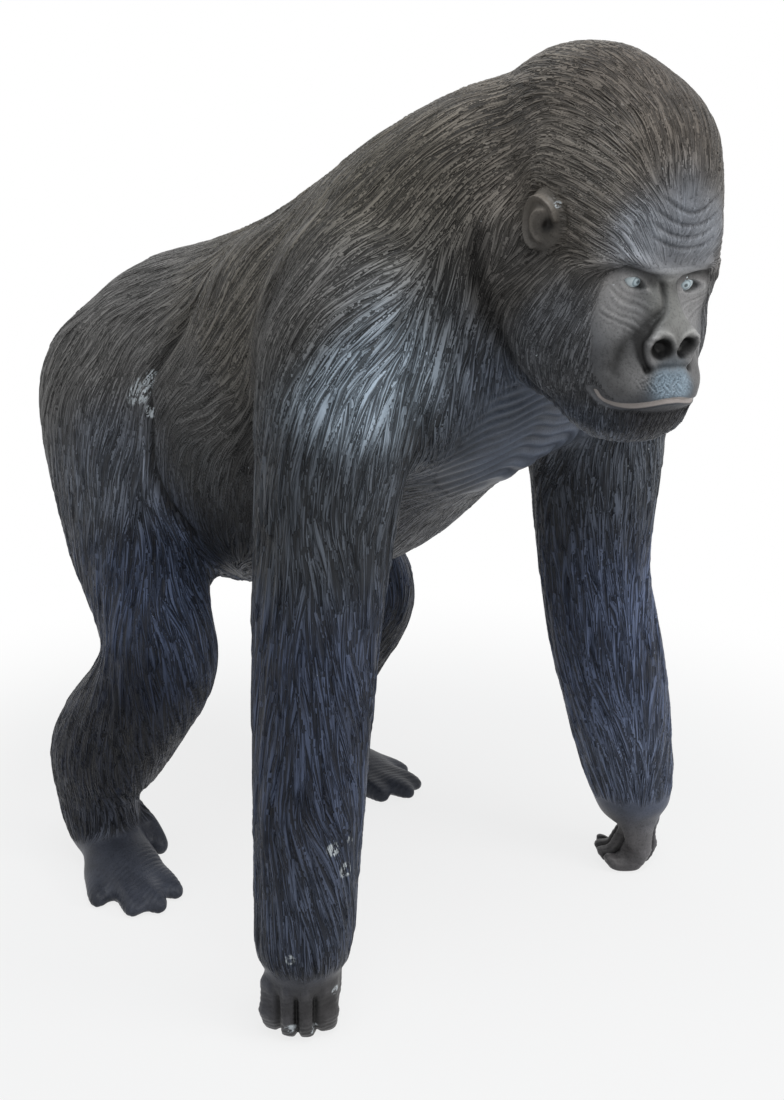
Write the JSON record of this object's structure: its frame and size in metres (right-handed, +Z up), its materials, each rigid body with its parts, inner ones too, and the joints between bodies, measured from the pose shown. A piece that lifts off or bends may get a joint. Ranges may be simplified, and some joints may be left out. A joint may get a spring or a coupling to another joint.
{
  "type": "gorilla statue",
  "caption": "Life-size gorilla statue on all fours, resting on its soles and knuckles, head turned a little to its right.",
  "frame": {"origin": "middle of the statue's length and width, on the floor under its soles and knuckles", "axes": "+Z up; the animal faces -Y, and its left side is +X"},
  "size_m": [0.861, 1.2628, 1.3169],
  "materials": {
    "gorilla": "dark painted resin, satin, with bluish and brownish shades and small pale chips"
  },
  "bodies": {
    "root": {"gorilla": "gorilla"}
  },
  "joints": []
}
